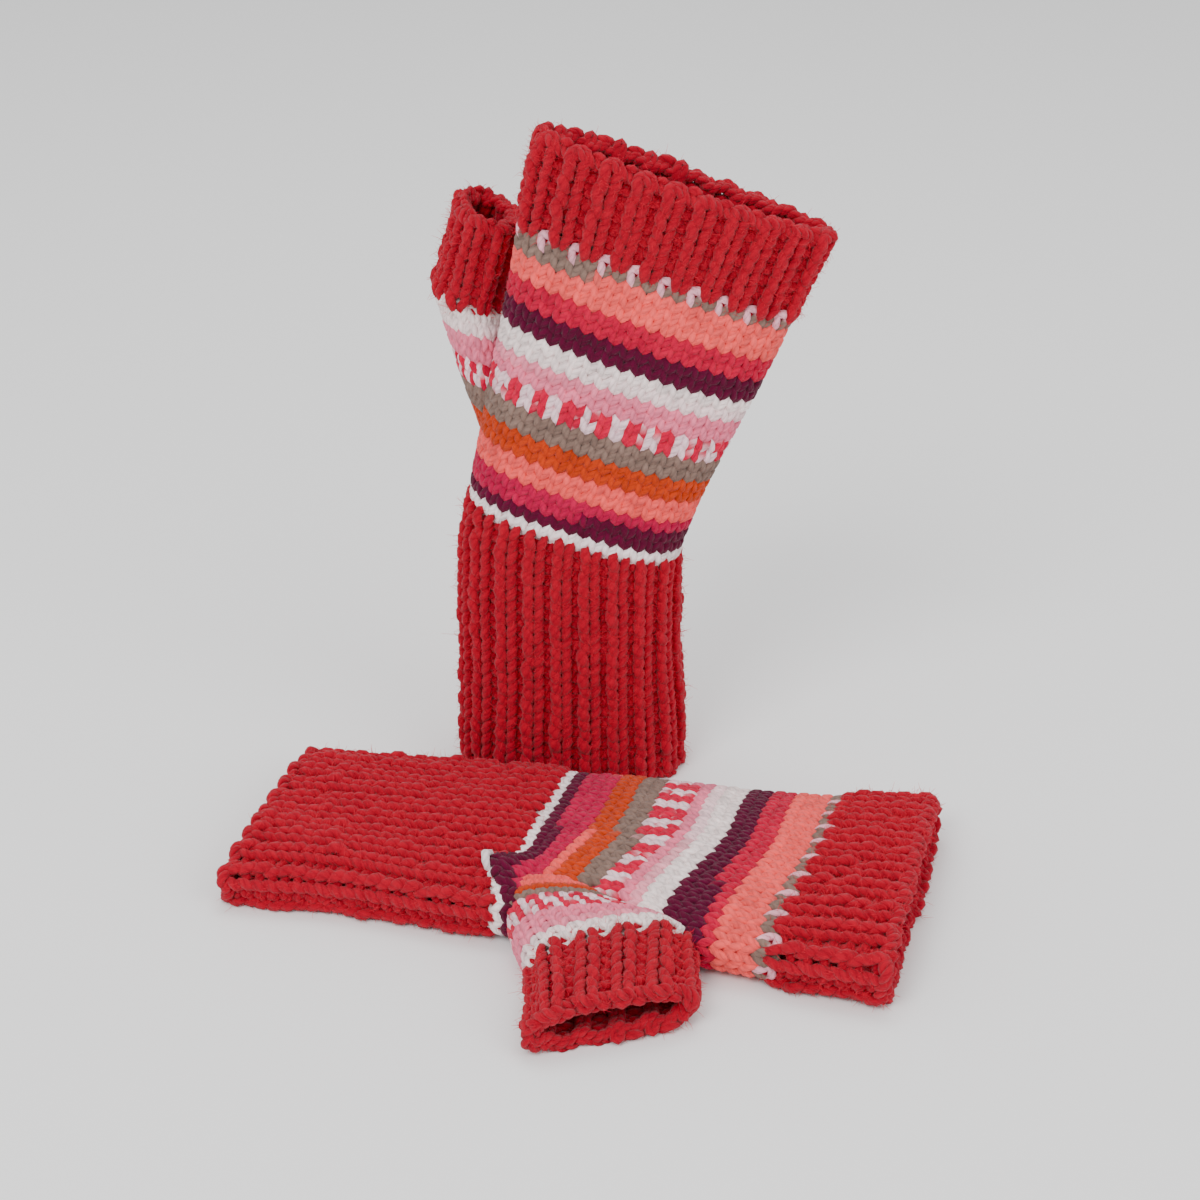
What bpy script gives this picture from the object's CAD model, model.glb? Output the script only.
import bpy
import numpy as np
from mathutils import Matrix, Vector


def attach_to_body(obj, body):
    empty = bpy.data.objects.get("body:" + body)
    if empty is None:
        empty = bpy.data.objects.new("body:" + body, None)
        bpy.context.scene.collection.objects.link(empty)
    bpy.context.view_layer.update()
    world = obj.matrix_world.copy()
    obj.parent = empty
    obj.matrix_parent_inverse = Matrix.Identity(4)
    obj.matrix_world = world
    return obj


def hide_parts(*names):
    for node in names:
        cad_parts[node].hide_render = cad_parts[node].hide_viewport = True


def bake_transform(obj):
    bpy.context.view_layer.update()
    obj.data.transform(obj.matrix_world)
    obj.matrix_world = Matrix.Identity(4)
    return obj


# A pair of knitted fingerless gloves. Every stitch is a loop of yarn that runs along a table of surface
# points, round after round, so the ribs, the V shaped stitches and the colour bands are real yarn.

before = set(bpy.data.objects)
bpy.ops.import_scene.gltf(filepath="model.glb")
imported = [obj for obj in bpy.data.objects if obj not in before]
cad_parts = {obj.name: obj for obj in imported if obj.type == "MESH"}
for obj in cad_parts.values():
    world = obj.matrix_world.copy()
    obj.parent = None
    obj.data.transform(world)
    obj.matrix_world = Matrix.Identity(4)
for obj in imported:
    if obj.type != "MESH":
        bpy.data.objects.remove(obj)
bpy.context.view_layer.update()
mm = 0.001
displayGamma = 2.2

# what both gloves share; levels are measured along the glove from its cast-on edge

knit = {
    "roundStitches": 40,
    "thumbStitches": 20,
    "ribRounds": 21.0,
    "fingerRounds": 7.0,
    "thumbRounds": 7.0,
    "yarnRadius": 1.42 * mm,
    "wallInset": 1.9 * mm,
    "ringsPerStitch": 14,
    "ringSides": 7,
    "softFloor": 1.2 * mm,
}
ribTop = 92.0 * mm
stripeTop = 186.4 * mm
gloveLength = 218.4 * mm
thumbLength = 32.0 * mm
edgeHeight = 3.5 * mm
lastPitch = 2.4 * mm  # the last round of each tube sits closer to the one below it

# The colour bands of the hand from the wrist up: node name, rounds in the right and the left glove, yarn
# colour.
stripes = [
    ("white_round", 1.0, 1.0, (0.96, 0.90, 0.90)),
    ("lower_purple_band", 1.5, 1.5, (0.35, 0.02, 0.18)),
    ("lower_magenta_band", 1.5, 2.2, (0.71, 0.0, 0.26)),
    ("lower_coral_band", 2.0, 0.8, (0.96, 0.33, 0.32)),
    ("orange_band", 2.0, 2.0, (0.74, 0.23, 0.08)),
    ("lower_taupe_band", 2.0, 2.0, (0.50, 0.41, 0.37)),
    ("flecked_band", 2.0, 2.2, (0.80, 0.0, 0.24)),
    ("pink_band", 2.0, 1.8, (0.91, 0.46, 0.56)),
    ("pale_band", 2.0, 2.6, (0.93, 0.70, 0.75)),
    ("upper_purple_band", 2.0, 2.3, (0.34, 0.02, 0.18)),
    ("crimson_band", 2.0, 1.8, (0.73, 0.0, 0.22)),
    ("upper_coral_band", 2.6, 2.6, (0.96, 0.34, 0.33)),
    ("upper_taupe_band", 1.4, 1.2, (0.50, 0.41, 0.37)),
]
bandRounds = {"right": {row[0]: row[1] for row in stripes}, "left": {row[0]: row[2] for row in stripes}}
bandColours = np.array([row[3] for row in stripes]) ** displayGamma
stripeRounds = sum(bandRounds["right"].values())
allRounds = knit["ribRounds"] + stripeRounds + knit["fingerRounds"]


def smoothStep(value, low, high):
    # zero below low, one above high, and three times the square less twice the cube between them
    share = np.clip((value - low) / (high - low), 0.0, 1.0)
    return share * share * (3.0 - 2.0 * share)


def linearColour(colour):
    # each display value raised to the display's gamma gives the light value
    return np.asarray(colour, float) ** displayGamma


def unit(vectors):
    # each vector divided by its own length
    return vectors / np.linalg.norm(vectors, axis=-1, keepdims=True)


def runLengths(centres):
    # the running sum of the distances between neighbouring points
    steps = np.linalg.norm(np.diff(centres, axis=0), axis=1)
    return np.concatenate([[0.0], np.cumsum(steps)])


def point(x, y, z):
    # a point given in millimetres
    return np.array([x, y, z]) * mm


tube = {"handColumns": 320, "thumbColumns": 200, "ovalSteps": 1440, "insidePower": 2.4, "reach": 1.35,
        "openLevels": 9, "farOutside": 9.0}


def ovalTable(wide, deep, topPower, lowPower, columns, startAngle):
    # a superellipse for each level: the cosine and sine of an angle that runs clockwise, each raised to two
    # over the power, times half width and half depth, resampled at equal steps of its own length
    angle = startAngle - np.linspace(0.0, 2.0 * np.pi, tube["ovalSteps"] + 1)
    power = np.where(np.sin(angle) > 0, topPower, lowPower)
    across = wide[:, None] * np.sign(np.cos(angle)) * np.abs(np.cos(angle)) ** (2.0 / power)
    through = deep[:, None] * np.sign(np.sin(angle)) * np.abs(np.sin(angle)) ** (2.0 / power)
    steps = np.hypot(np.diff(across), np.diff(through))
    length = np.concatenate([np.zeros((len(wide), 1)), np.cumsum(steps, axis=1)], axis=1)
    wanted = np.linspace(0.0, 1.0, columns + 1)
    rows = [(np.interp(wanted * total[-1], total, a), np.interp(wanted * total[-1], total, t))
            for total, a, t in zip(length, across, through)]
    return np.array([row[0] for row in rows]), np.array([row[1] for row in rows])


def makeSurface(start, step, points, sections):
    # a table of points by level and turn, with its outward normals: the cross product of the table's two
    # slopes; sections holds the middle, the two section axes and the two half sizes of each level
    around = np.gradient(np.concatenate([points[:, -3:-1], points, points[:, 1:3]], axis=1), axis=1)[:, 2:-2]
    along = np.gradient(points, axis=0)
    normals = unit(np.cross(along, around))
    return {"start": start, "step": step, "points": points, "normals": normals,
            "sections": sections}


def depthInside(surface, points):
    # the superellipse value of each point at its nearest level: below one inside the tube, one on it; a
    # point far from the middle, or nearest to one of the tube's first levels, counts as outside
    middle, acrossAxis, throughAxis, wide, deep = surface["sections"]
    nearest = np.argmin(np.linalg.norm(points[:, None, :] - middle[None], axis=-1), axis=1)
    offset = points - middle[nearest]
    across = np.sum(offset * acrossAxis[nearest], axis=1) / wide[nearest]
    through = np.sum(offset * throughAxis[nearest], axis=1) / deep[nearest]
    beyond = np.linalg.norm(offset, axis=1) > tube["reach"] * np.maximum(wide, deep)[nearest]
    value = np.abs(across) ** tube["insidePower"] + np.abs(through) ** tube["insidePower"]
    return np.where(beyond | (nearest < tube["openLevels"]), tube["farOutside"], value)


def onSurface(surface, turn, along):
    # the table read between its points: each of the four neighbours weighted by how near it is
    levels, columns = surface["points"].shape[0] - 1, surface["points"].shape[1] - 1
    row = np.clip((along - surface["start"]) / surface["step"], 0.0, levels - 1e-6)
    column = (turn % 1.0) * columns
    rowLow, columnLow = row.astype(int), np.minimum(column.astype(int), columns - 1)
    rowShare, columnShare = (row - rowLow)[:, None], (column - columnLow)[:, None]
    read = []
    for table in (surface["points"], surface["normals"]):
        low = table[rowLow, columnLow] * (1 - columnShare) + table[rowLow, columnLow + 1] * columnShare
        high = (table[rowLow + 1, columnLow] * (1 - columnShare)
                + table[rowLow + 1, columnLow + 1] * columnShare)
        read.append(low * (1 - rowShare) + high * rowShare)
    return read[0], unit(read[1])


def gentleNoise(shape, waves, seed):
    # a sum of a few long sine waves over level and turn, whole waves round the turn
    source = np.random.default_rng(seed)
    level = np.linspace(0.0, 1.0, shape[0])[:, None]
    turn = np.linspace(0.0, 1.0, shape[1])[None, :]
    total = np.zeros(shape)
    for _ in range(waves):
        total += source.normal() * np.sin(2 * np.pi * (source.integers(1, 5) * turn
                                                     + source.uniform(0.5, 4.0) * level + source.random()))
    return total / np.sqrt(waves)


right = {
    "levels": np.array([-8.0, 0.0, 45.0, 92.0, 118.0, 154.0, 186.0, 218.4, 228.0]) * mm,
    "halfWidth": np.array([38.8, 38.6, 37.6, 37.8, 40.0, 44.0, 47.6, 51.5, 52.4]) * mm,
    "halfDepth": np.array([25.0, 25.0, 24.2, 23.0, 21.4, 18.2, 15.9, 14.2, 14.0]) * mm,
    "leanDegrees": 17.7,
    "leanFrom": 74.0 * mm,
    "leanTo": 110.0 * mm,
    "wristTilt": 16.0,
    "fingerTilt": 19.6,
    "power": 2.35,
    "swell": 0.012,
    "step": 1.0 * mm,
}


def rightHandTable():
    # the middle line is the running sum of a step along the lean, which grows smoothly at the wrist; the
    # section stands on it, tilted down to the little finger's side
    step = right["step"]
    along = np.arange(right["levels"][0], right["levels"][-1], step)
    lean = np.radians(right["leanDegrees"]) * smoothStep(along, right["leanFrom"], right["leanTo"])
    zero = np.argmin(np.abs(along))
    middleX = np.cumsum(np.sin(lean)) * step
    middleZ = np.cumsum(np.cos(lean)) * step
    middleX, middleZ = middleX - middleX[zero], middleZ - middleZ[zero]
    tilt = np.radians(np.interp(along, [0.0, ribTop, gloveLength],
                                [0.0, right["wristTilt"], right["fingerTilt"]]))
    wide = np.interp(along, right["levels"], right["halfWidth"]) - knit["wallInset"]
    deep = np.interp(along, right["levels"], right["halfDepth"]) - knit["wallInset"]
    across, through = ovalTable(wide, deep, right["power"], right["power"], tube["handColumns"], 0.5 * np.pi)
    swell = 1.0 + right["swell"] * gentleNoise(across.shape, 9, 3)
    across, through = across * swell, through * swell
    middle = np.stack([middleX, np.zeros_like(along), middleZ], axis=-1)
    acrossAxis = np.stack([np.cos(tilt), np.zeros_like(tilt), -np.sin(tilt)], axis=-1)
    throughAxis = np.broadcast_to([0.0, 1.0, 0.0], middle.shape)
    points = (middle[:, None] + across[..., None] * acrossAxis[:, None]
              + through[..., None] * throughAxis[:, None])
    return makeSurface(along[0], step, points, (middle, acrossAxis, throughAxis, wide, deep))


rightThumb = {
    "root": np.array([-20.0, 10.0, 112.0]) * mm,
    "start": np.array([-35.0, 22.5, 166.0]) * mm,
    "turnDegrees": 15.0,
    "tiltDegrees": 17.0,
    "levels": np.array([-60.0, -30.0, 0.0, 16.0, 32.0, 40.0]) * mm,
    "halfWidth": np.array([11.0, 15.5, 18.0, 17.0, 17.3, 17.3]) * mm,
    "halfDepth": np.array([8.0, 10.5, 11.8, 11.0, 11.2, 11.2]) * mm,
    "power": 2.3,
    "swell": 0.015,
    "step": 1.0 * mm,
}


def rightThumbTable():
    # the middle line runs straight from the gusset's root to the thumb's start and then along the thumb
    step = rightThumb["step"]
    turn, tilt = np.radians(rightThumb["turnDegrees"]), np.radians(rightThumb["tiltDegrees"])
    direction = np.array([np.sin(turn), 0.0, np.cos(turn)])
    reach = np.linalg.norm(rightThumb["start"] - rightThumb["root"])
    along = np.arange(-reach, rightThumb["levels"][-1], step)
    share = np.clip(-along / reach, 0.0, 1.0)[:, None]
    middle = (rightThumb["start"] * (1 - share) + rightThumb["root"] * share
              + np.maximum(along, 0.0)[:, None] * direction)
    wide = np.interp(along, rightThumb["levels"], rightThumb["halfWidth"]) - knit["wallInset"]
    deep = np.interp(along, rightThumb["levels"], rightThumb["halfDepth"]) - knit["wallInset"]
    across, through = ovalTable(wide, deep, rightThumb["power"], rightThumb["power"],
                                tube["thumbColumns"], 0.0)
    swell = 1.0 + rightThumb["swell"] * gentleNoise(across.shape, 7, 4)
    acrossAxis = np.broadcast_to([0.0, 1.0, 0.0], middle.shape)
    throughAxis = np.broadcast_to([-np.cos(tilt), 0.0, np.sin(tilt)], middle.shape)
    points = (middle[:, None] + (across * swell)[..., None] * acrossAxis[:, None]
              + (through * swell)[..., None] * throughAxis[:, None])
    return makeSurface(along[0], step, points, (middle, acrossAxis, throughAxis, wide, deep))


left = {
    "place": np.array([-101.0, -57.0, 0.0]) * mm,
    "turnDegrees": -13.8,
    "levels": np.array([-8.0, 0.0, 46.0, 92.0, 118.0, 152.0, 186.0, 218.4, 228.0]) * mm,
    "halfWidth": np.array([43.8, 44.0, 43.5, 45.5, 48.5, 49.5, 51.5, 54.0, 54.5]) * mm,
    "halfHeight": np.array([7.4, 7.6, 8.6, 9.4, 9.8, 9.6, 9.6, 10.6, 10.8]) * mm,
    "topPower": 2.6,
    "lowPower": 5.0,
    "slipFrom": -12.0 * mm,
    "slipTo": 40.0 * mm,
    "slipLevels": np.array([92.0, 97.0, 112.0, 150.0, 190.0, 218.0]) * mm,
    "slip": np.array([0.0, 1.0, 10.0, 10.0, 5.0, 0.0]) * mm,
    "pleatAcross": -31.0 * mm,
    "pleatAlong": 98.0 * mm,
    "pleatHalfWidth": 7.5 * mm,
    "pleatHalfLength": 7.0 * mm,
    "pleatHeight": 5.5 * mm,
    "pleatPull": 9.0 * mm,
    "ripple": 0.8 * mm,
    "sway": 1.0 * mm,
    "step": 1.0 * mm,
}


def leftTurned(vectors):
    # turned about the vertical by the left glove's angle
    angle = np.radians(left["turnDegrees"])
    return np.stack([vectors[..., 0] * np.cos(angle) - vectors[..., 1] * np.sin(angle),
                     vectors[..., 0] * np.sin(angle) + vectors[..., 1] * np.cos(angle),
                     vectors[..., 2]], axis=-1)


def leftPlace(points):
    # turned, then moved to the left glove's place
    return leftTurned(points) + left["place"]


def leftHandTable():
    # a flat tube that lies on its lower side; its rounds slip towards the wrist at the thumb's side, and a
    # soft pleat swells and pulls back there as the exponential of minus the squared distance; ripples lie
    # on its top
    step = left["step"]
    along = np.arange(left["levels"][0], left["levels"][-1], step)
    wide = np.interp(along, left["levels"], left["halfWidth"]) - knit["wallInset"]
    deep = np.interp(along, left["levels"], left["halfHeight"]) - knit["wallInset"]
    across, through = ovalTable(wide, deep, left["topPower"], left["lowPower"],
                                tube["handColumns"], -0.5 * np.pi)
    frontness = smoothStep(-across, left["slipFrom"], left["slipTo"])
    slip = np.interp(along, left["slipLevels"], left["slip"])[:, None] * frontness
    upness = smoothStep(through, -2.0 * mm, 6.0 * mm)
    fold = upness * np.exp(-((across - left["pleatAcross"]) / left["pleatHalfWidth"]) ** 2)
    fold = fold * np.exp(-((along[:, None] - left["pleatAlong"]) / left["pleatHalfLength"]) ** 2)
    x = along[:, None] - slip - left["pleatPull"] * fold
    y = across + left["sway"] * gentleNoise(across.shape, 7, 6)
    ripple = left["ripple"] * gentleNoise(across.shape, 10, 5) * upness
    lift = deep[:, None] + knit["wallInset"]
    points = np.stack([x, y, lift + through + left["pleatHeight"] * fold + upness * ripple], axis=-1)
    middle = leftPlace(np.stack([along, np.zeros_like(along), lift[:, 0]], axis=-1))
    acrossAxis = np.broadcast_to(leftTurned(np.array([0.0, 1.0, 0.0])), middle.shape)
    throughAxis = np.broadcast_to([0.0, 0.0, 1.0], middle.shape)
    return makeSurface(along[0], step, leftPlace(points), (middle, acrossAxis, throughAxis, wide, deep))


leftThumb = {
    "root": np.array([103.0, -30.0, 9.6]) * mm,
    "start": np.array([133.0, -61.0, 9.6]) * mm,
    "turnDegrees": 13.5,
    "levels": np.array([-60.0, -34.0, -12.0, 0.0, 16.0, 32.0, 40.0]) * mm,
    "halfWidth": np.array([10.0, 17.0, 23.0, 25.0, 24.5, 25.0, 25.0]) * mm,
    "halfHeight": np.array([8.0, 9.6, 10.2, 10.4, 9.6, 7.6, 7.4]) * mm,
    "skew": 0.34,
    "skewFrom": -30.0 * mm,
    "skewTo": -4.0 * mm,
    "skewMiddle": -8.0 * mm,
    "topPower": 2.5,
    "lowPower": 4.0,
    "swell": 0.02,
    "step": 1.0 * mm,
}


def leftThumbTable():
    # as the right thumb, lying down: its rounds are skewed, each point moved back towards the hand by the
    # skew times its distance to the finger side
    step = leftThumb["step"]
    turn = np.radians(leftThumb["turnDegrees"])
    direction = np.array([np.sin(turn), -np.cos(turn), 0.0])
    sideways = np.array([np.cos(turn), np.sin(turn), 0.0])
    reach = np.linalg.norm(leftThumb["start"] - leftThumb["root"])
    along = np.arange(-reach, leftThumb["levels"][-1], step)
    share = np.clip(-along / reach, 0.0, 1.0)[:, None]
    middle = (leftThumb["start"] * (1 - share) + leftThumb["root"] * share
              + np.maximum(along, 0.0)[:, None] * direction)
    wide = np.interp(along, leftThumb["levels"], leftThumb["halfWidth"]) - knit["wallInset"]
    deep = np.interp(along, leftThumb["levels"], leftThumb["halfHeight"]) - knit["wallInset"]
    across, through = ovalTable(wide, deep, leftThumb["topPower"], leftThumb["lowPower"],
                                tube["thumbColumns"], -0.5 * np.pi)
    swell = 1.0 + leftThumb["swell"] * gentleNoise(across.shape, 7, 8)
    middle[:, 2] = deep + knit["wallInset"]
    middle = leftPlace(middle)
    acrossAxis = np.broadcast_to(leftTurned(sideways), middle.shape)
    throughAxis = np.broadcast_to([0.0, 0.0, 1.0], middle.shape)
    growth = smoothStep(along, leftThumb["skewFrom"], leftThumb["skewTo"])[:, None]
    skew = leftThumb["skew"] * growth * (across - leftThumb["skewMiddle"])
    points = (middle[:, None] + (across * swell)[..., None] * acrossAxis[:, None]
              + through[..., None] * throughAxis[:, None] - skew[..., None] * leftTurned(direction))
    return makeSurface(along[0], step, points, (middle, acrossAxis, throughAxis, wide, deep))


def yarnMesh(name, centres, outward, radius, runStarts, lengths, colours=None, sides=None, squeeze=0.88):
    # a ring of points round each centre: the inward direction times a cosine and the sideways direction
    # times a sine, times the radius; neighbouring rings of a run are joined by quads and each run's two
    # ends are closed; near the floor a height below low becomes low times the exponential of its distance
    # under low, over low
    sides = sides or knit["ringSides"]
    count = len(centres)
    runOf = np.zeros(count, int)
    runOf[runStarts] = 1
    runOf = np.cumsum(runOf) - 1
    isStart = np.zeros(count, bool)
    isStart[runStarts] = True
    isEnd = np.roll(isStart, -1)
    isEnd[-1] = True
    before, after = np.arange(count) - 1, np.arange(count) + 1
    before[isStart] = np.flatnonzero(isStart)
    after[isEnd] = np.flatnonzero(isEnd)
    tangent = unit(centres[after] - centres[before])
    sideways = unit(np.cross(tangent, outward))
    front = np.cross(sideways, tangent)
    angle = 2 * np.pi * np.arange(sides) / sides
    spread = np.broadcast_to(np.asarray(radius, float), (count,))[:, None, None]
    points = centres[:, None, :] + spread * (
        -squeeze * np.cos(angle)[None, :, None] * front[:, None, :]
        + np.sin(angle)[None, :, None] * sideways[:, None, :])
    low = knit["softFloor"]
    points[..., 2] = np.where(points[..., 2] < low, low * np.exp(np.minimum(points[..., 2] - low, 0.0) / low),
                              points[..., 2])

    first = np.flatnonzero(~isEnd)
    corner = np.arange(sides)
    nextCorner = (corner + 1) % sides
    ring, nextRing = first[:, None] * sides, (first[:, None] + 1) * sides
    quads = np.stack([ring + corner, nextRing + corner, nextRing + nextCorner, ring + nextCorner], axis=-1)
    startCaps = np.flatnonzero(isStart)[:, None] * sides + corner
    endCaps = np.flatnonzero(isEnd)[:, None] * sides + corner[::-1]
    vertexIndex = np.concatenate([quads.reshape(-1), startCaps.reshape(-1), endCaps.reshape(-1)])
    faceSizes = np.concatenate([np.full(quads.shape[0] * sides, 4), np.full(2 * len(startCaps), sides)])
    loopStart = np.concatenate([[0], np.cumsum(faceSizes)[:-1]])

    mesh = bpy.data.meshes.new(name)
    mesh.vertices.add(count * sides)
    mesh.vertices.foreach_set("co", points.reshape(-1).astype(np.float32))
    mesh.loops.add(len(vertexIndex))
    mesh.loops.foreach_set("vertex_index", vertexIndex.astype(np.int32))
    mesh.polygons.add(len(faceSizes))
    mesh.polygons.foreach_set("loop_start", loopStart.astype(np.int32))
    mesh.polygons.foreach_set("use_smooth", np.ones(len(faceSizes), bool))
    mesh.update(calc_edges=True)

    run = lengths / mm
    share = np.broadcast_to(corner / sides, (len(first), sides))
    u0 = np.broadcast_to(run[first][:, None], (len(first), sides))
    u1 = np.broadcast_to(run[first + 1][:, None], (len(first), sides))
    quadUv = np.stack([np.stack([u0, share], -1), np.stack([u1, share], -1),
                       np.stack([u1, share + 1 / sides], -1), np.stack([u0, share + 1 / sides], -1)], axis=2)
    capUv = np.zeros((2 * startCaps.size, 2))
    layer = mesh.uv_layers.new(name="yarnLength")
    layer.data.foreach_set("uv", np.concatenate([quadUv.reshape(-1), capUv.reshape(-1)]).astype(np.float32))
    if colours is not None:
        tint = mesh.color_attributes.new("yarnColour", "FLOAT_COLOR", "POINT")
        four = np.concatenate([np.repeat(colours, sides, axis=0), np.ones((count * sides, 1))], axis=1)
        tint.data.foreach_set("color", four.reshape(-1).astype(np.float32))
    piece = bpy.data.objects.new(name, mesh)
    bpy.context.scene.collection.objects.link(piece)
    return piece


stitch = {
    "neck": 0.27,
    "neckSpread": 0.10,
    "rise": 0.88,
    "riseSpread": 0.05,
    "depth": 1.05 * mm,
    "ribDepth": 0.0,
    "knitShare": 0.5,
    "radius": knit["yarnRadius"],
    "radiusSpread": 0.05,
    "legSwell": 0.09,
    "sideSpread": 0.025,
    "levelSpread": 0.03,
    "depthSpread": 0.18 * mm,
    "loose": 0.0,
    "looseSpread": 0.5,
    "looseSide": 0.07,
    "looseHeight": 0.45 * mm,
    "looseSwell": 0.10,
    "headReach": 2.4,
    "headWidth": 0.8,
    "crossingPower": 8,
}


def stitchPath(surface, first, last, perRound, roundKnots, levelKnots, purl=None, headForward=None, seed=0,
               loop=None, keep=None):
    # yarn knitted from stitch first to stitch last. Along a stitch the phase runs once round: the yarn
    # moves on by one stitch plus a sine of twice the phase, rises and falls as minus the phase's cosine,
    # and lies behind at the loop's foot and head and in front on its two legs, as minus the cosine of twice
    # the phase. A purl stitch has that turned round, and a rib's knit stitches stand further out than its
    # purl stitches. The two stitches of a pair share their width by knitShare, and a knit stitch's second
    # leg is loose
    shape = {**stitch, **(loop or {})}
    per = knit["ringsPerStitch"]
    stitches = np.arange(int(np.floor(first)), int(np.ceil(last)))
    kept = np.ones(len(stitches), bool) if keep is None else keep(stitches)
    edges = np.flatnonzero(np.diff(np.concatenate([[0], kept.astype(int), [0]])))
    pieces, starts, total = [], [], 0
    for begin, end in zip(edges[::2], edges[1::2]):
        low, high = max(first, stitches[begin]), min(last, stitches[end - 1] + 1)
        count = max(3, int(round((high - low) * per)) + 1)
        starts.append(total)
        pieces.append(np.linspace(low, high, count))
        total += count
    place = np.concatenate(pieces)
    index = np.clip(np.floor(place + 1e-9).astype(int), stitches[0], stitches[-1])
    phase = 2 * np.pi * (place - index)
    source = np.random.default_rng(seed)
    random = source.normal(size=(5, len(stitches) + 2))[:, index - stitches[0]]
    inner = np.sin(phase / 2) ** 2
    isPurl = np.zeros(len(place), bool) if purl is None else purl(index)
    sign = np.where(isPurl, -1.0, 1.0)

    knitShare = shape["knitShare"]
    pairStart = 2 * np.floor(index / 2.0)
    width = np.where(index % 2 == 0, 2 * knitShare, 2 - 2 * knitShare)
    begin = np.where(index % 2 == 0, 0.0, 2 * knitShare)
    neck = shape["neck"] * (1 + shape["neckSpread"] * random[0])
    loose = shape["loose"] * np.where(isPurl, 0.0, 1.0) * np.clip(-np.sin(phase), 0.0, 1.0)
    loose = loose * (1 + shape["looseSpread"] * random[3])
    across = (place - index) + neck * np.sin(2 * phase) + shape["looseSide"] * loose
    column = pairStart + begin + width * (across + shape["sideSpread"] * random[1] * inner)

    rounds = place / perRound
    level = np.interp(rounds, roundKnots, levelKnots)
    pitch = np.median(np.gradient(level) / np.maximum(np.gradient(rounds), 1e-9))
    rise = shape["rise"] * pitch * (1 + shape["riseSpread"] * random[2] * inner)
    along = level - rise * np.cos(phase) + shape["levelSpread"] * pitch * random[4] * inner

    crossing = np.cos(phase / 2) ** shape["crossingPower"] if purl is not None else 0.0
    height = -shape["depth"] * sign * (np.cos(2 * phase) - crossing)
    height = height + shape["ribDepth"] * sign * (1 - crossing)
    height = height + shape["depthSpread"] * random[3] * inner + shape["looseHeight"] * loose
    if headForward is not None:
        bulge = np.exp(-((phase - np.pi) / shape["headWidth"]) ** 2)
        height = height + shape["headReach"] * shape["depth"] * headForward(index) * bulge
    points, normals = onSurface(surface, column / perRound, along)
    centres = points + normals * height[:, None]
    radius = shape["radius"] * (1 + shape["radiusSpread"] * random[4] * inner
                                + shape["legSwell"] * np.cos(4 * phase) + shape["looseSwell"] * loose)
    return {"centres": centres, "outward": normals, "radius": radius, "starts": np.array(starts),
            "lengths": runLengths(centres), "place": place, "index": index, "phase": phase}


rope = {
    "ringsPerStitch": 12,
    "radius": 1.34 * mm,
    "breath": 0.08,
    "spread": 0.95 * mm,
    "lift": 1.1 * mm,
    "push": 0.3 * mm,
    "wander": 0.4 * mm,
    "ribSwell": 0.7 * mm,
    "ribMiddle": 0.63,
    "castOnLevel": 1.6 * mm,
    "bindOffDrop": 2.8 * mm,
}


def ropePath(surface, along, perRound, strand, lift, direction, outwards, seed):
    # one of two strands of a twisted edge: a small circle round a line at one level, turning once per
    # stitch; the line swells out at every knit column as a cosine over two stitches, wanders a little and
    # its radius breathes, both interpolated between random knots
    place = np.linspace(0.0, perRound, perRound * rope["ringsPerStitch"] + 1)
    knots = np.random.default_rng(seed).normal(size=(3, perRound + 1))
    knots[:, -1] = knots[:, 0]
    wander, push, breath = (np.interp(place, np.arange(perRound + 1), row) for row in knots)
    turn = direction * 2 * np.pi * (place + strand / 2)
    rib = rope["ribSwell"] * np.cos(np.pi * (place - rope["ribMiddle"]))
    level = along + rib * outwards
    points, normals = onSurface(surface, place / perRound, level)
    above, _ = onSurface(surface, place / perRound, level + 2 * mm)
    outward = lift + rib + rope["push"] * push + rope["spread"] * np.cos(turn)
    upward = rope["spread"] * np.sin(turn) + rope["wander"] * wander
    centres = points + normals * outward[:, None] + unit(above - points) * upward[:, None]
    return {"centres": centres, "outward": normals, "radius": rope["radius"] * (1 + rope["breath"] * breath),
            "starts": np.array([0]), "lengths": runLengths(centres)}


def addNode(tree, kind, links=None, **values):
    # one node, with its settings, fixed socket values and incoming links
    node = tree.nodes.new(kind)
    for key, value in values.items():
        setattr(node, key, value)
    for socket, source in (links or {}).items():
        if isinstance(source, bpy.types.NodeSocket):
            tree.links.new(source, node.inputs[socket])
        else:
            node.inputs[socket].default_value = source
    return node


def combine(tree, operation, first, second=0.0):
    # the result of one arithmetic node on two sockets or numbers
    return addNode(tree, "ShaderNodeMath", {0: first, 1: second}, operation=operation).outputs[0]


def principled(material):
    # the shader node that a new material starts with
    return next(node for node in material.node_tree.nodes if node.type == "BSDF_PRINCIPLED")


yarnLook = {
    "twistPerMm": 0.36,
    "plies": 3.0,
    "plyPower": 0.6,
    "fibreStretch": 0.30,
    "fibresPerPly": 5.0,
    "fibreScale": 1.6,
    "blotchScale": 260.0,
    "plyHeight": 0.6,
    "fibreHeight": 0.7,
    "plyShade": 0.22,
    "fibreShade": 0.95,
    "blotchShade": 0.60,
    "baseShade": 0.10,
    "roughness": 0.95,
    "roughnessDrop": 0.25,
    "fuzz": 0.6,
    "bumpDistance": 0.5 * mm,
    "sheen": 0.12,
    "sheenRoughness": 0.45,
    "specular": 0.12,
}


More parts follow.
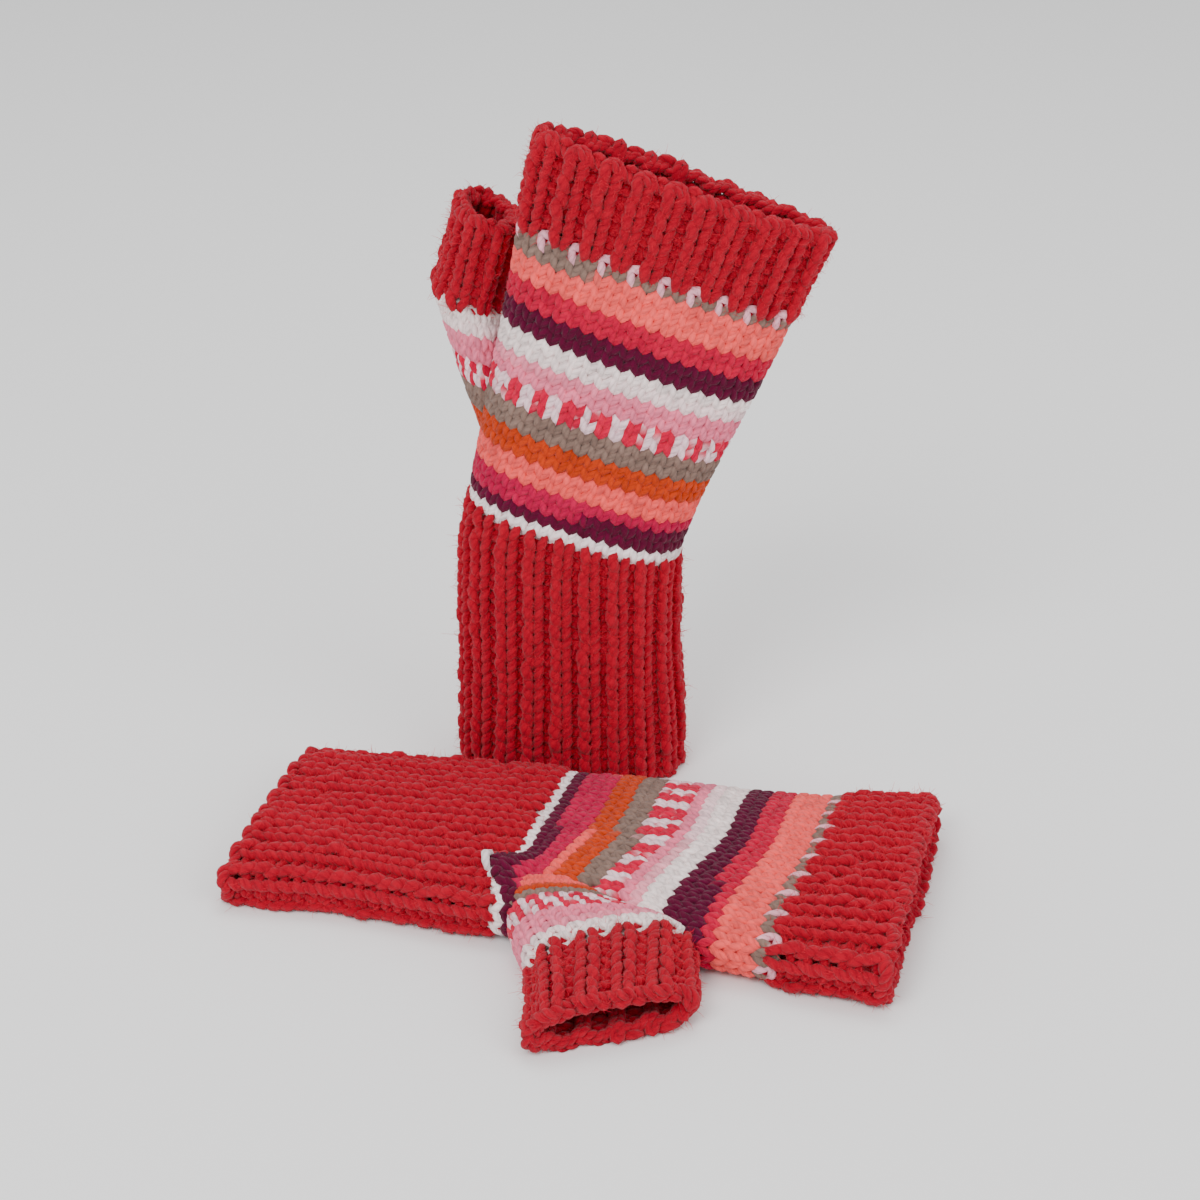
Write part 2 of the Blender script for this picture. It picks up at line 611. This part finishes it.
def makeYarnGroup():
    # plies: the absolute sine of three turns round the yarn plus its length over the twist; fibres: noise
    # drawn out along the twist; both darken the colour in the grooves and raise the bump's height
    group = bpy.data.node_groups.new("yarnSurface", "ShaderNodeTree")
    for name, kind, way in [("Colour", "Color", "INPUT"), ("Fuzz", "Float", "INPUT"),
                            ("Base Color", "Color", "OUTPUT"), ("Roughness", "Float", "OUTPUT"),
                            ("Height", "Float", "OUTPUT")]:
        group.interface.new_socket(name=name, in_out=way, socket_type="NodeSocket" + kind)
    given = group.nodes.new("NodeGroupInput")
    result = group.nodes.new("NodeGroupOutput")

    def times(first, second):
        return combine(group, "MULTIPLY", first, second)

    def plus(first, second):
        return combine(group, "ADD", first, second)

    where = addNode(group, "ShaderNodeUVMap", uv_map="yarnLength")
    split = addNode(group, "ShaderNodeSeparateXYZ", {0: where.outputs[0]})
    length, turn = split.outputs[0], split.outputs[1]
    twist = plus(times(length, yarnLook["twistPerMm"]), times(turn, yarnLook["plies"]))
    ply = combine(group, "ABSOLUTE", combine(group, "SINE", times(twist, np.pi)))
    ply = combine(group, "POWER", ply, yarnLook["plyPower"])
    drawn = addNode(group, "ShaderNodeCombineXYZ", {0: times(length, yarnLook["fibreStretch"]),
                                                    1: times(twist, yarnLook["fibresPerPly"]), 2: 0.0})
    fibre = addNode(group, "ShaderNodeTexNoise", {"Vector": drawn.outputs[0], "Scale": yarnLook["fibreScale"],
                                                  "Detail": 4.0, "Roughness": 0.7}).outputs[0]
    coordinates = addNode(group, "ShaderNodeTexCoord")
    blotch = addNode(group, "ShaderNodeTexNoise", {"Vector": coordinates.outputs["Object"], "Detail": 2.0,
                                                   "Scale": yarnLook["blotchScale"]}).outputs[0]
    height = plus(times(ply, yarnLook["plyHeight"]), times(fibre, yarnLook["fibreHeight"]))
    shade = plus(times(ply, yarnLook["plyShade"]), times(fibre, yarnLook["fibreShade"]))
    shade = plus(plus(shade, times(blotch, yarnLook["blotchShade"])), yarnLook["baseShade"])
    grey = addNode(group, "ShaderNodeCombineColor", {0: shade, 1: shade, 2: shade})
    mix = addNode(group, "ShaderNodeMix", data_type="RGBA", blend_type="MULTIPLY")
    mix.inputs[0].default_value = 1.0
    group.links.new(given.outputs["Colour"], mix.inputs[6])
    group.links.new(grey.outputs[0], mix.inputs[7])
    group.links.new(mix.outputs[2], result.inputs["Base Color"])
    smoothing = times(given.outputs["Fuzz"], times(fibre, yarnLook["roughnessDrop"]))
    group.links.new(combine(group, "SUBTRACT", yarnLook["roughness"], smoothing), result.inputs["Roughness"])
    group.links.new(height, result.inputs["Height"])
    return group


yarnGroup = makeYarnGroup()


def yarnMaterial(name, colour=None):
    # the yarn group on a plain colour, or on the colour stored along the yarn when none is given
    material = bpy.data.materials.new(name)
    material.use_nodes = True
    tree = material.node_tree
    shader = principled(material)
    surface = tree.nodes.new("ShaderNodeGroup")
    surface.node_tree = yarnGroup
    surface.inputs["Fuzz"].default_value = yarnLook["fuzz"]
    if colour is None:
        stored = addNode(tree, "ShaderNodeAttribute", attribute_name="yarnColour")
        tree.links.new(stored.outputs["Color"], surface.inputs["Colour"])
    else:
        surface.inputs["Colour"].default_value = (*linearColour(colour), 1.0)
    bump = addNode(tree, "ShaderNodeBump", {"Strength": 1.0, "Distance": yarnLook["bumpDistance"],
                                            "Height": surface.outputs["Height"]})
    tree.links.new(surface.outputs["Base Color"], shader.inputs["Base Color"])
    tree.links.new(surface.outputs["Roughness"], shader.inputs["Roughness"])
    tree.links.new(bump.outputs[0], shader.inputs["Normal"])
    shader.inputs["Sheen Weight"].default_value = yarnLook["sheen"]
    shader.inputs["Sheen Roughness"].default_value = yarnLook["sheenRoughness"]
    shader.inputs["Specular IOR Level"].default_value = yarnLook["specular"]
    return material


redMaterial = yarnMaterial("redYarn", (0.65, 0.0, 0.15))
stripeMaterial = yarnMaterial("stripedYarn")
print("yarn materials ready")


yarnColours = {
    "bandBlend": 0.012,
    "mixBlend": 0.01,
    "flecksPerRound": 18,
    "fleckWhite": (0.94, 0.80, 0.83),
    "fleckShare": (0.40, 0.66),
    "paleWhite": (0.95, 0.88, 0.87),
    "tipPink": (0.93, 0.66, 0.72),
    "driftStep": 0.7,
    "drift": 0.07,
}


def bandStarts(side):
    # the running sum of the rounds, from the end of the wrist rib
    names, rounds = list(bandRounds[side]), np.array(list(bandRounds[side].values()))
    return dict(zip(names + ["end"], knit["ribRounds"] + np.concatenate([[0.0], np.cumsum(rounds)])))


def stripeColours(side, place, index, phase, seed):
    # each band's colour, softened where two bands meet; the flecked band changes between hot pink and white
    # eighteen times a round, the pale band drifts from pink to white, and in the last round the head and
    # the second leg of every purl stitch are pale pink; all of it drifts a little lighter and darker
    starts = bandStarts(side)
    edges = np.array(list(starts.values()))
    rounds = place / knit["roundStitches"]
    result = np.broadcast_to(bandColours[0], (len(place), 3)).copy()
    blend = yarnColours["bandBlend"]
    for edge, colour in zip(edges[1:-1], bandColours[1:]):
        share = smoothStep(rounds, edge - blend, edge + blend)[:, None]
        result = result * (1 - share) + colour * share

    def between(low, high):
        # one from the start of one band to the start of another, and zero elsewhere
        soft = yarnColours["mixBlend"]
        return (smoothStep(rounds, starts[low] - soft, starts[low] + soft)
                * (1 - smoothStep(rounds, starts[high] - soft, starts[high] + soft)))

    def mixIn(colour, share):
        # the colour so far times what is left of one, plus the new colour times its share
        return result * (1 - share[:, None]) + linearColour(colour) * share[:, None]

    beat = place * yarnColours["flecksPerRound"] / knit["roundStitches"]
    reaches = np.random.default_rng(side == "left").uniform(*yarnColours["fleckShare"], 2000)
    reach = reaches[np.floor(beat).astype(int) % len(reaches)]
    beat = beat % 1.0
    white = smoothStep(beat, reach - 0.04, reach + 0.04) * (1 - smoothStep(beat, 0.93, 1.0))
    result = mixIn(yarnColours["fleckWhite"], white * between("flecked_band", "pink_band"))
    paleness = smoothStep(rounds, starts["pale_band"] - 0.6, starts["pale_band"] + 0.9)
    result = mixIn(yarnColours["paleWhite"], paleness * between("pink_band", "upper_purple_band"))
    tip = smoothStep(rounds, starts["end"] - 1.02, starts["end"] - 0.98) * (index % 2 == 1)
    tip = tip * smoothStep(phase, 0.62 * np.pi, 0.75 * np.pi)
    tip = tip * (1 - smoothStep(phase, 1.7 * np.pi, 1.85 * np.pi))
    result = mixIn(yarnColours["tipPink"], tip)
    knots = np.arange(np.floor(place[0]) - 2, np.ceil(place[-1]) + 3, yarnColours["driftStep"])
    drift = np.interp(place, knots, np.random.default_rng(seed).normal(size=len(knots)))
    return np.clip(result * (1 + yarnColours["drift"] * drift)[:, None], 0.0, 1.0)


fuzz = {
    "wristFibres": 14000,
    "fingerFibres": 9500,
    "thumbFibres": 3200,
    "reachFrom": 1.0,
    "reachTo": 2.9,
    "outward": 0.9,
    "lean": 0.75,
    "bend": 0.35,
    "radius": [0.075, 0.07, 0.03],
    "colour": (0.86, 0.05, 0.20),
}
redFuzz = bpy.data.materials.new("redFuzz")
redFuzz.use_nodes = True
principled(redFuzz).inputs["Base Color"].default_value = (*linearColour(fuzz["colour"]), 1.0)
principled(redFuzz).inputs["Roughness"].default_value = 0.9


def attach(piece, body, bend):
    # the piece's yarn slot, and the one body that it rides or the two that it bends between
    if bend:
        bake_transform(piece)
    else:
        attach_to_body(piece, body)


def makeFuzz(name, path, count, body=None, bend=None):
    # fibres that leave the yarn: each starts under the yarn's skin, points outwards with a random lean and
    # bends over, as three points on a curve whose middle is pushed aside
    source = np.random.default_rng(len(name) + count)
    pick = np.sort(source.integers(1, len(path["centres"]) - 1, count))
    outward = path["outward"][pick]
    way = unit(fuzz["outward"] * outward + fuzz["lean"] * source.normal(size=(count, 3)))
    way = np.where(np.sum(way * outward, axis=1, keepdims=True) < 0.0, -way, way)
    bendOver = fuzz["bend"] * source.normal(size=(count, 3))
    reach = source.uniform(fuzz["reachFrom"], fuzz["reachTo"], count)[:, None] * mm
    begin = path["centres"][pick] + way * 1.0 * mm
    middle = begin + (way + 0.3 * bendOver) * reach * 0.6
    end = begin + (way + bendOver) * reach * 1.1
    centres = np.stack([begin, middle, end], axis=1).reshape(-1, 3)
    side = np.repeat(unit(np.cross(way, source.normal(size=(count, 3)))), 3, axis=0)
    piece = yarnMesh(name, centres, side, np.tile(fuzz["radius"], count) * mm, np.arange(0, 3 * count, 3),
                     runLengths(centres), sides=3, squeeze=1.0)
    piece.data.materials.append(redFuzz)
    attach(piece, body, bend)


def makeYarn(name, path, material, nodes, body=None, bend=None, colours=None):
    # a yarn piece that stands for its CAD nodes
    piece = yarnMesh(name, path["centres"], path["outward"], path["radius"], path["starts"], path["lengths"],
                     colours)
    piece.data.materials.append(material)
    if nodes:
        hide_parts(*nodes)
    attach(piece, body, bend)


# rounds and levels of the hand tube, and loops of the ribs and of the thumb
roundKnots = np.array([0.0, knit["ribRounds"], knit["ribRounds"] + stripeRounds, allRounds - 1.0, allRounds])
levelKnots = np.array([edgeHeight, ribTop, stripeTop, gloveLength - edgeHeight - lastPitch,
                       gloveLength - edgeHeight])
thumbKnots = np.array([-12.0, 0.0, knit["thumbRounds"] - 1.0, knit["thumbRounds"]])
ribLoop = {"knitShare": 0.63, "ribDepth": 0.9 * mm, "neck": 0.19, "loose": 1.2, "radius": 1.64 * mm}
thumbLoop = {"radius": 1.30 * mm}
thumbRibLoop = {"knitShare": 0.63, "ribDepth": 0.8 * mm, "neck": 0.19, "loose": 1.0, "radius": 1.50 * mm}
gussetRounds = {
    "right": {"lower_coral_band": 2, "orange_band": 2, "lower_taupe_band": 2, "flecked_band": 2,
              "pink_band": 2, "pale_band": 2},
    "left": {"lower_coral_band": 2, "orange_band": 1, "lower_taupe_band": 1, "flecked_band": 3,
             "pink_band": 3, "pale_band": 2},
}
joining = {"handKept": 0.70, "thumbKept": 0.78, "softBands": 4, "tipReach": 0.85, "looseReach": 1.9}
looseSpot = leftPlace(point(87.0, -31.0, 20.0))
firstSeed = {"right": 100, "left": 200}


def oddIsPurl(index):
    # true for every second stitch
    return index % 2 == 1


def middles(surface, stitches, perRound, rounds, levels):
    # the surface point half way along each stitch
    place = (stitches + 0.5) / perRound
    return onSurface(surface, place, np.interp(place, rounds, levels))[0]


def makeHand(side, hand, thumb, wristBend):
    # the hand tube's yarn: the wrist rib, the colour bands with a gap where the thumb leaves, and the
    # finger rib
    perRound, seed, palm = knit["roundStitches"], firstSeed[side], f"{side}_hand"
    ribEnd = int(knit["ribRounds"] * perRound)
    path = stitchPath(hand, 0, ribEnd, perRound, roundKnots, levelKnots, oddIsPurl, None, seed, ribLoop)
    makeYarn(f"{side}WristRib", path, redMaterial, [f"{side}_wrist_rib"], bend=wristBend)
    makeFuzz(f"{side}WristFuzz", path, fuzz["wristFibres"], bend=wristBend)

    lastRound = ribEnd + (stripeRounds - 1) * perRound
    firstStripe = onSurface(hand, np.arange(perRound) / perRound, np.full(perRound, ribTop + 2 * mm))[0]
    looseStitch = ribEnd + np.argmin(np.linalg.norm(firstStripe - looseSpot, axis=1))

    def keepHand(stitches):
        # true where a stitch of the hand lies outside the thumb
        inside = depthInside(thumb, middles(hand, stitches, perRound, roundKnots, levelKnots))
        return inside > joining["handKept"]

    def headOut(index):
        # how far a stitch's head comes forward: at the purl stitches of the last round, and at one loose
        # stitch of the left glove
        loose = (np.abs(index - looseStitch) < 1) & (side == "left")
        tips = (index >= lastRound) & oddIsPurl(index)
        return np.where(tips, joining["tipReach"], np.where(loose, joining["looseReach"], 0.0))

    place = ribEnd
    for number, (name, rounds) in enumerate(bandRounds[side].items()):
        end = place + rounds * perRound
        path = stitchPath(hand, place, end, perRound, roundKnots, levelKnots, None, headOut, seed + number,
                          None, keepHand)
        colours = stripeColours(side, path["place"], path["index"], path["phase"], seed + number)
        bend = wristBend if number < joining["softBands"] else None
        makeYarn(f"{side}_{name}_yarn", path, stripeMaterial, [f"{side}_{name}"], palm, bend, colours)
        place = end
    path = stitchPath(hand, place, place + knit["fingerRounds"] * perRound, perRound, roundKnots, levelKnots,
                      oddIsPurl, None, seed + 20, ribLoop)
    makeYarn(f"{side}FingerRib", path, redMaterial, [f"{side}_finger_rib"], palm)
    makeFuzz(f"{side}FingerFuzz", path, fuzz["fingerFibres"], palm)


def makeThumb(side, hand, thumb, thumbBend):
    # the thumb's yarn: the gusset in the colours of the hand's bands beside it, and the thumb rib
    perThumb, seed, digit = knit["thumbStitches"], firstSeed[side], f"{side}_thumb"
    levels = np.array([thumb["start"], 0.0, thumbLength - edgeHeight - lastPitch, thumbLength - edgeHeight])

    def keepThumb(stitches):
        # true where a stitch of the thumb lies outside the hand
        inside = depthInside(hand, middles(thumb, stitches, perThumb, thumbKnots, levels))
        return inside > joining["thumbKept"]

    starts, low = bandStarts(side), -sum(gussetRounds[side].values()) * perThumb
    gussetNodes = {"flecked_band": [f"{side}_thumb_gusset"], "pale_band": [f"{side}_thumb_base"]}
    for number, (name, rounds) in enumerate(gussetRounds[side].items()):
        high = low + rounds * perThumb
        path = stitchPath(thumb, low, high, perThumb, thumbKnots, levels, None, None, seed + 40 + number,
                          thumbLoop, keepThumb)
        progress = (path["place"] - low) / (high - low)
        handPlace = (starts[name] + progress * (bandRounds[side][name] - 0.05) + 0.02) * knit["roundStitches"]
        colours = stripeColours(side, handPlace, path["index"], path["phase"], seed + 60 + number)
        makeYarn(f"{side}_{name}_gusset", path, stripeMaterial, gussetNodes.get(name, []), bend=thumbBend,
                 colours=colours)
        low = high
    path = stitchPath(thumb, 0, knit["thumbRounds"] * perThumb, perThumb, thumbKnots, levels, oddIsPurl, None,
                      seed + 80, thumbRibLoop, keepThumb if side == "left" else None)
    makeYarn(f"{side}ThumbRib", path, redMaterial, [f"{side}_thumb_rib"], digit)
    makeFuzz(f"{side}ThumbFuzz", path, fuzz["thumbFibres"], digit)


def makeEdges(side, hand, thumb):
    # each edge is a twisted rope outside the tube and another inside it, and each rope has two strands
    seed, drop = firstSeed[side], rope["bindOffDrop"]
    for name, surface, level, outwards, count, body, node in [
        ("CastOnEdge", hand, rope["castOnLevel"], -1.0, knit["roundStitches"], "cuff", "cast_on_edge"),
        ("FingerEdge", hand, gloveLength - drop, 1.0, knit["roundStitches"], "hand", "finger_bind_off_edge"),
        ("ThumbEdge", thumb, thumbLength - drop, 1.0, knit["thumbStitches"], "thumb", "thumb_bind_off_edge"),
    ]:
        for ring, direction in enumerate([1.0, -1.0]):
            for strand in range(2):
                path = ropePath(surface, level, count, strand, direction * rope["lift"], direction, outwards,
                                seed + ring + count)
                makeYarn(f"{side}{name}{ring}{strand}", path, redMaterial, [f"{side}_{node}"],
                         f"{side}_{body}")


def makeGlove(side, hand, thumb, wristBend, thumbBend):
    # one whole glove, knitted from the cast-on edge up
    makeHand(side, hand, thumb, wristBend)
    makeThumb(side, hand, thumb, thumbBend)
    makeEdges(side, hand, thumb)
    print(f"{side} glove knitted")


rightHand, rightDigit = rightHandTable(), rightThumbTable()
leftHand, leftDigit = leftHandTable(), leftThumbTable()
print("surfaces ready")

# each bend turns from one body to the next between two points
bends = {
    "wristMiddle": point(2.2, 0.0, 98.9),
    "wristWay": np.array([0.29, 0.0, 0.957]),
    "wristReach": 14 * mm,
    "leftWristFrom": point(86.0, 0.0, 9.0),
    "leftWristTo": point(116.0, 0.0, 9.0),
    "rightThumbReach": 24 * mm,
    "leftThumbReach": 22 * mm,
    "thumbEnd": 2 * mm,
}
wristSpan = bends["wristWay"] * bends["wristReach"]
rightThumbWay = unit(rightThumb["start"] - rightThumb["root"])
leftThumbWay = unit(leftThumb["start"] - leftThumb["root"])
makeGlove("right", rightHand, rightDigit,
          ("right_cuff", "right_hand", bends["wristMiddle"] - wristSpan, bends["wristMiddle"] + wristSpan),
          ("right_hand", "right_thumb", rightThumb["start"] - rightThumbWay * bends["rightThumbReach"],
           rightThumb["start"] - rightThumbWay * bends["thumbEnd"]))
makeGlove("left", leftHand, leftDigit,
          ("left_cuff", "left_hand", leftPlace(bends["leftWristFrom"]), leftPlace(bends["leftWristTo"])),
          ("left_hand", "left_thumb", leftPlace(leftThumb["start"] - leftThumbWay * bends["leftThumbReach"]),
           leftPlace(leftThumb["start"] - leftThumbWay * bends["thumbEnd"])))

studio = {
    "floorReach": 6.0,
    "floorGrey": 0.93,
    "floorRoughness": 0.9,
    "surroundStrength": 0.85,
    "lampAim": (0.0, 0.0, 0.1),
    "lamps": [("keyLamp", (-0.55, -1.1, 1.2), 0.7, 15.0), ("fillLamp", (0.9, -0.9, 0.8), 0.9, 6.0),
              ("topLamp", (0.1, 0.5, 1.5), 0.9, 7.0)],
    "cameraPlace": (0.012, -0.790, 0.430),
    "cameraAim": (0.010, -0.030, 0.076),
    "sensor": 36.0,
    "lens": 75.0,
}


def placeFacing(item, place, target):
    # stands at its place and is turned so that its own minus z axis points at the target
    item.location = place
    aim = Vector(target) - item.location
    item.rotation_euler = aim.to_track_quat("-Z", "Y").to_euler()


def makeStage():
    # a pale floor, a pale surround and three soft lamps, and a camera that looks down at the pair
    floorMesh = bpy.data.meshes.new("floor")
    reach = studio["floorReach"]
    corners = [(-reach, -reach, 0), (reach, -reach, 0), (reach, reach, 0), (-reach, reach, 0)]
    floorMesh.from_pydata(corners, [], [(0, 1, 2, 3)])
    floor = bpy.data.objects.new("floor", floorMesh)
    material = bpy.data.materials.new("paleFloor")
    material.use_nodes = True
    principled(material).inputs["Base Color"].default_value = (*[studio["floorGrey"]] * 3, 1.0)
    principled(material).inputs["Roughness"].default_value = studio["floorRoughness"]
    floorMesh.materials.append(material)
    world = bpy.data.worlds.new("paleWorld")
    world.use_nodes = True
    world.node_tree.nodes["Background"].inputs[0].default_value = (1.0, 1.0, 1.0, 1.0)
    world.node_tree.nodes["Background"].inputs[1].default_value = studio["surroundStrength"]
    bpy.context.scene.world = world
    objects = [floor]
    for name, place, size, power in studio["lamps"]:
        data = bpy.data.lights.new(name, "AREA")
        data.size, data.energy = size, power
        lamp = bpy.data.objects.new(name, data)
        placeFacing(lamp, place, studio["lampAim"])
        objects.append(lamp)
    data = bpy.data.cameras.new("camera")
    data.sensor_width, data.lens = studio["sensor"], studio["lens"]
    camera = bpy.data.objects.new("camera", data)
    placeFacing(camera, studio["cameraPlace"], studio["cameraAim"])
    objects.append(camera)
    for item in objects:
        bpy.context.scene.collection.objects.link(item)
    bpy.context.scene.camera = camera
    print("stage ready")


makeStage()
